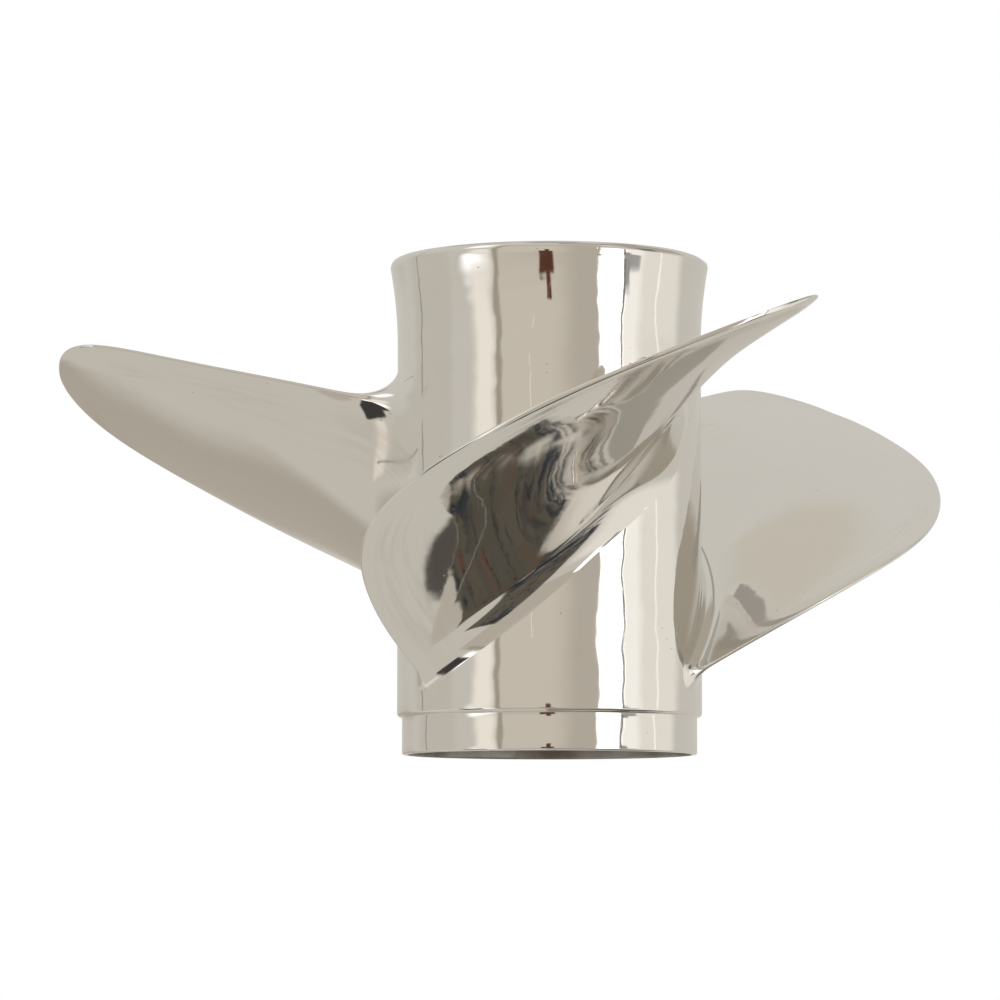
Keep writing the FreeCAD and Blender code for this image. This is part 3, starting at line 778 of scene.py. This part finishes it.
def polished_metal(name, blade):
    """Hand-polished stainless: slow waves from the polishing wheel, fine scratches, pits and haze."""
    material, n, where = new_material(name)
    cloud = n.noise(where, 22.0, 4.0, 0.6)
    if blade:
        waves = n.noise(where, 16.0, 1.0)
        wave_height = BLADE_WAVES
        haze = rim_haze(n, where, cloud)
    else:
        waves = n.noise(n.scaled(where, (30, 30, 40)), 1.0, 2.0, 0.4)
        wave_height = BARREL_WAVES
        haze = spread_haze(n, where)
    ripples = n.noise(n.scaled(where, (95, 95, 120)), 1.0, 1.0)
    upright_scratches = n.noise(n.scaled(where, (900, 900, 60)), 1.0, 3.0, 0.7)
    level_scratches = n.noise(n.scaled(where, (120, 700, 900)), 1.0, 3.0, 0.7)
    scratches = n.math("ADD", n.ramp(upright_scratches, 0.58, 0.8), n.ramp(level_scratches, 0.6, 0.8))
    dots = n.add("ShaderNodeTexVoronoi", {"Vector": where, "Scale": 190.0, "Randomness": 1.0})
    rare = n.math("GREATER_THAN", n.noise(where, 60.0, 0.0), 0.62)
    pits = n.math("MULTIPLY", n.ramp(dots.outputs["Distance"], 0.05, 0.09, 1.0, 0.0), rare)
    tone = n.mix(n.ramp(cloud, 0.3, 0.75), METAL_DULLED, METAL)
    tone = n.mix(n.math("MULTIPLY", haze, 0.3), tone, TARNISH)
    tone = n.mix(n.math("MULTIPLY", pits, 0.5), tone, PIT_TONE)
    rough = n.math("MULTIPLY_ADD", n.ramp(cloud, 0.4, 0.8), 0.035, 0.03)
    rough = n.math("MULTIPLY_ADD", haze, 0.14, rough)
    normal = n.bump(waves, wave_height)
    normal = n.bump(ripples, RIPPLES, normal)
    normal = n.bump(scratches, SCRATCHES, normal)
    normal = n.bump(pits, PITS, normal)
    add_surface(n, Base_Color=tone, Metallic=1.0, Roughness=rough, Normal=normal)
    return material


def dull_metal(name, tone, stain, rough, grain):
    """Cast or turned metal that was never polished: mottled colour, grain and grime."""
    material, n, where = new_material(name)
    mottle = n.noise(where, 90.0, 4.0, 0.6)
    grime = n.ramp(n.noise(where, 28.0, 4.0, 0.65), 0.42, 0.62)
    pores = n.noise(n.scaled(where, grain), 1.0, 3.0, 0.6)
    colour = n.mix(mottle, tuple(c * 0.8 for c in tone), tone)
    colour = n.mix(n.math("MULTIPLY", grime, 0.6), colour, stain)
    roughness = n.ramp(mottle, 0.2, 0.8, rough * 0.8, rough * 1.2)
    normal = n.bump(pores, PORES, strength=0.7)
    add_surface(n, Base_Color=colour, Metallic=1.0, Roughness=roughness, Normal=normal)
    return material


def soft_plastic(name, tone, light_tone, rough):
    """Rubber or nylon: slight colour drift, bloom and a moulded grain."""
    material, n, where = new_material(name)
    bloom = n.ramp(n.noise(where, 70.0, 4.0, 0.6), 0.35, 0.75)
    colour = n.mix(bloom, tone, light_tone)
    roughness = n.ramp(bloom, 0.0, 1.0, rough, rough + 0.15)
    normal = n.bump(n.noise(where, 900.0, 2.0), MOULD_GRAIN)
    add_surface(n, Base_Color=colour, Roughness=roughness, Normal=normal)
    return material


# ---- build --------------------------------------------------------------------------------------
rim = Rim()
blades = [make_blade(rim, number) for number in (1, 2, 3)]
barrel = make_barrel()

blade_metal = polished_metal("polished_blade", True)
barrel_metal = polished_metal("polished_barrel", False)
for piece in blades:
    piece.data.materials.append(blade_metal)
barrel.data.materials.append(barrel_metal)
cast_metal = dull_metal("cast_stainless", (0.42, 0.40, 0.37), (0.12, 0.10, 0.08), 0.42, (420, 420, 420))
turned_metal = dull_metal("turned_stainless", (0.60, 0.59, 0.57), (0.34, 0.32, 0.29), 0.24, (90, 90, 2600))
bronze = dull_metal("turned_bronze", (0.62, 0.42, 0.20), (0.26, 0.16, 0.08), 0.28, (90, 90, 2600))
rubber = soft_plastic("bush_rubber", (0.018, 0.018, 0.019), (0.045, 0.044, 0.042), 0.62)
nylon = soft_plastic("insert_nylon", (0.05, 0.13, 0.36), (0.08, 0.18, 0.42), 0.38)
barrel.data.materials.append(cast_metal)
leave_bore_cast(barrel)
KIT = [
    (make_inner_hub(), cast_metal),
    (make_web(1), cast_metal),
    (make_web(2), cast_metal),
    (make_web(3), cast_metal),
    (make_bush(), rubber),
    (make_sleeve(), bronze),
    (make_thrust_hub(), turned_metal),
    (make_spacer(), turned_metal),
    (make_washer(), turned_metal),
    (make_nut(), turned_metal),
    (make_insert(), nylon),
]
for piece, finish in KIT:
    piece.data.materials.append(finish)

# ---- studio -------------------------------------------------------------------------------------
METAL_LIGHT = 1.16
MIRRORED_RIPPLE = 0.03
FLOOR_CLIMB = 0.13

# Soft patches of light and shade that the metal mirrors: centre (azimuth, elevation), half size and
# softness, all in degrees, then display colour and a brightness factor. Azimuth 0 is behind the camera
# and 90 is towards +X. A last number, where there is one, is how many degrees the patch climbs per
# degree of azimuth. A later patch lies over the ones before it.
PATCHES = {
    "left_wall": ((-100, 2), (17, 14), 8, (188, 184, 176), 1.0),
    "left_panel": ((-54, -16), (6, 6), 11, (255, 255, 255), 1.3),
    "room": ((0, -2), (40, 46), 4, (177, 170, 159), 1.0),
    "room_high": ((-20, 11), (20, 12), 24, (197, 190, 179), 1.0),
    "left_bright": ((-50, 3), (3.5, 5), 9, (234, 229, 220), 1.0),
    "left_edge": ((-38.6, 2), (0.7, 40), 2.6, (158, 151, 139), 1.0),
    "left_lamp": ((-58, 42), (7, 7), 9, (255, 255, 255), 1.1),
    "low_panel": ((84, -10), (22, 14), 12, (226, 222, 214), 1.0),
    "floor_shade_side": ((100, -47), (14, 7), 8, (138, 134, 126), 1.0, FLOOR_CLIMB),
    "floor_shade": ((45, -54), (48, 14), 3, (93, 88, 79), 1.0, FLOOR_CLIMB),
    "panel_glow": ((63, 3), (4, 12), 9, (246, 243, 238), 1.0),
    "right_panel": ((47.5, 0.5), (9.0, 14.5), 2.5, (255, 255, 255), 1.8),
    "panel_foot": ((63, -9), (6, 2.5), 2.5, (158, 157, 155), 1.0),
    "panel_foot_tip": ((59, -5), (1.5, 1.5), 2.5, (150, 149, 147), 1.0),
    "panel_seam": ((56.5, 4), (0.5, 12), 0.9, (125, 122, 120), 1.0),
    "right_line": ((89, 4), (0.4, 10), 1.0, (246, 242, 234), 1.05),
    "upper_right": ((94, 44), (24, 18), 10, (168, 162, 151), 1.0),
    "upper_dark": ((80, 26), (5, 5), 4, (105, 103, 100), 1.0),
    "upper_front": ((40, 60), (26, 3), 5, (142, 140, 134), 1.0),
    "overhead_front": ((15, 80), (50, 7), 2.5, (163, 160, 152), 1.0),
    "overhead": ((0, 90), (180, 9), 2.5, (163, 160, 152), 1.0),
    "left_shade": ((-62, -25), (10, 9), 2.5, (60, 58, 56), 1.0),
    "left_band": ((-98, -24), (20, 2.0), 4, (220, 214, 204), 1.0),
    "far_left_edge": ((-112, 4), (0.4, 30), 0.7, (150, 146, 140), 1.0),
    "cable": ((-14, 5.5), (0.15, 1.2), 0.35, (228, 219, 205), 1.0),
    "back_panel": ((172, 20), (10, 4), 6, (252, 252, 252), 1.1),
    "back_low": ((-153, -22), (14, 14), 14, (170, 163, 152), 1.0),
    "back_warm": ((-168, 64), (12, 8), 8, (194, 189, 179), 1.0),
    "back_beam": ((-143, 60), (8, 11), 0.8, (153, 149, 141), 1.0),
    "back_beam_foot": ((127, 59.5), (15, 2.4), 3.0, (158, 154, 146), 1.0, 0.07),
    "back_shade": ((146, -57), (11, 6.5), 2, (80, 76, 71), 1.0),
    "stand_top": ((-2.5, -9.5), (4.6, 3.0), 1.5, (84, 54, 42), 1.0),
    "stand_foot": ((-1.5, -4.0), (1.3, 2.2), 1.2, (92, 60, 46), 1.0),
}


def patch_mask(n, azimuth, elevation, centre, half, soft, climb=0.0):
    """1 inside a patch with rounded corners, falling to 0 over its softness."""
    across = n.math("WRAP", n.math("SUBTRACT", azimuth, centre[0]), 180.0, -180.0)
    up = n.math("SUBTRACT", elevation, centre[1])
    if climb:
        up = n.math("SUBTRACT", up, n.math("MULTIPLY", across, climb))
    past_side = n.math("MAXIMUM", n.math("SUBTRACT", n.math("ABSOLUTE", across), half[0]), 0.0)
    past_top = n.math("MAXIMUM", n.math("SUBTRACT", n.math("ABSOLUTE", up), half[1]), 0.0)
    squares = n.math("ADD", n.math("POWER", past_side, 2.0), n.math("POWER", past_top, 2.0))
    return n.ramp(n.math("SQRT", squares), 0.0, soft, 1.0, 0.0)


def add_clutter(n, light, direction, azimuth, elevation):
    """Clutter in the floor's shade: dark things, mostly at both ends, thin strands and brown scraps."""
    along = n.math("SUBTRACT", azimuth, 36.0)
    top = n.math("SUBTRACT", elevation, n.math("MULTIPLY", along, FLOOR_CLIMB))
    low = n.math("MULTIPLY", n.ramp(elevation, -66.0, -60.0), n.ramp(top, -41.0, -38.0, 1.0, 0.0))
    front = n.math("MULTIPLY", n.ramp(azimuth, -6.0, 0.0), n.ramp(azimuth, 112.0, 124.0, 1.0, 0.0))
    shade = n.math("MULTIPLY", low, front)
    ends = n.ramp(n.math("ABSOLUTE", n.math("SUBTRACT", azimuth, 46.0)), 18.0, 44.0, 0.15, 1.0)
    things = n.noise(n.vector("MULTIPLY", direction, (1.0, 1.0, 0.5)), 7.0, 5.0, 0.6)
    dark = n.math("MULTIPLY", n.math("MULTIPLY", shade, ends), n.ramp(things, 0.40, 0.52))
    light = n.mix(dark, light, linear(48, 54, 62))
    off_line = n.math("ABSOLUTE", n.math("SUBTRACT", n.noise(direction, 4.0, 4.0, 0.6), 0.5))
    strands = n.math("MULTIPLY", n.ramp(off_line, 0.004, 0.016, 1.0, 0.0), shade)
    light = n.mix(n.math("MULTIPLY", strands, 0.8), light, linear(40, 42, 46))
    brown = n.math("MULTIPLY", shade, n.ramp(n.noise(direction, 7.0, 3.0), 0.58, 0.66))
    return n.mix(n.math("MULTIPLY", brown, 0.6), light, linear(108, 78, 62))


def studio_world():
    """A pale room with its patches for the metal to mirror. The camera itself sees plain white."""
    world = bpy.data.worlds.new("studio")
    world.use_nodes = True
    n = Nodes(world.node_tree)
    direction = n.add("ShaderNodeTexCoord").outputs["Generated"]
    ripple = n.vector("SUBTRACT", n.noise(direction, 9.0, 4.0, 0.5, color=True), (0.5,) * 3)
    bent = n.vector("ADD", direction, n.vector("MULTIPLY", ripple, (MIRRORED_RIPPLE,) * 3))
    parts = n.add("ShaderNodeSeparateXYZ", {"Vector": n.vector("NORMALIZE", bent)}).outputs
    azimuth = n.math("DEGREES", n.math("ARCTAN2", parts["X"], n.math("MULTIPLY", parts["Y"], -1.0)))
    elevation = n.math("DEGREES", n.math("ARCSINE", parts["Z"]))
    light = n.mix(n.ramp(elevation, -30.0, 50.0), linear(192, 188, 180), linear(200, 197, 191))
    for centre, half, soft, colour, power, *climb in PATCHES.values():
        inside = patch_mask(n, azimuth, elevation, centre, half, soft, *climb)
        light = n.mix(inside, light, tuple(c * power for c in linear(*colour)))
    light = add_clutter(n, light, direction, azimuth, elevation)
    lit = n.add("ShaderNodeBackground", {"Color": light, "Strength": METAL_LIGHT})
    plain = n.add("ShaderNodeBackground", {"Color": (1.0, 1.0, 1.0), "Strength": 1.0})
    seen = n.add("ShaderNodeLightPath").outputs["Is Camera Ray"]
    both = n.add("ShaderNodeMixShader")
    for socket, value in zip(both.inputs, (seen, lit.outputs[0], plain.outputs[0])):
        n.put(socket, value)
    n.add("ShaderNodeOutputWorld", {"Surface": both.outputs[0]})
    return world


def pale_floor():
    """A pale disc under the propeller. It stays out of the metal's reflections."""
    turns = np.linspace(0, 2 * math.pi, FLOOR_SIDES + 1)[:-1]
    edge = [(FLOOR_R * math.cos(a), FLOOR_R * math.sin(a), FLOOR_Z) for a in turns]
    mesh = bpy.data.meshes.new("floor")
    mesh.from_pydata(edge, [], [tuple(range(FLOOR_SIDES))])
    floor = bpy.data.objects.new("floor", mesh)
    bpy.context.scene.collection.objects.link(floor)
    floor.visible_glossy = False
    material, n, where = new_material("pale_floor")
    tone = n.mix(n.noise(where, 3.0, 3.0), (0.90, 0.895, 0.885), (0.93, 0.925, 0.915))
    add_surface(n, Base_Color=tone, Roughness=0.6)
    mesh.materials.append(material)


def soft_light(name, place, aim, size, watts):
    """A square area light that the metal doesn't mirror."""
    data = bpy.data.lights.new(name, "AREA")
    data.size = size
    data.energy = watts
    lamp = bpy.data.objects.new(name, data)
    bpy.context.scene.collection.objects.link(lamp)
    lamp.location = place
    lamp.rotation_euler = (Vector(aim) - Vector(place)).to_track_quat("-Z", "Y").to_euler()
    lamp.visible_glossy = False


def make_camera():
    """A long lens in front of blade 1, a little lower than the barrel's front face."""
    data = bpy.data.cameras.new("camera")
    data.lens = CAMERA_LENS
    data.sensor_width = SENSOR_WIDTH
    camera = bpy.data.objects.new("camera", data)
    bpy.context.scene.collection.objects.link(camera)
    camera.location = CAMERA_PLACE
    camera.rotation_euler = (Vector(CAMERA_AIM) - camera.location).to_track_quat("-Z", "Y").to_euler()
    return camera


scene = bpy.context.scene
scene.view_settings.view_transform = "Standard"
scene.world = studio_world()
pale_floor()
soft_light("overhead", place=(-0.6, -0.8, 2.4), aim=(0, 0, 0), size=2.0, watts=34.0)
scene.camera = make_camera()
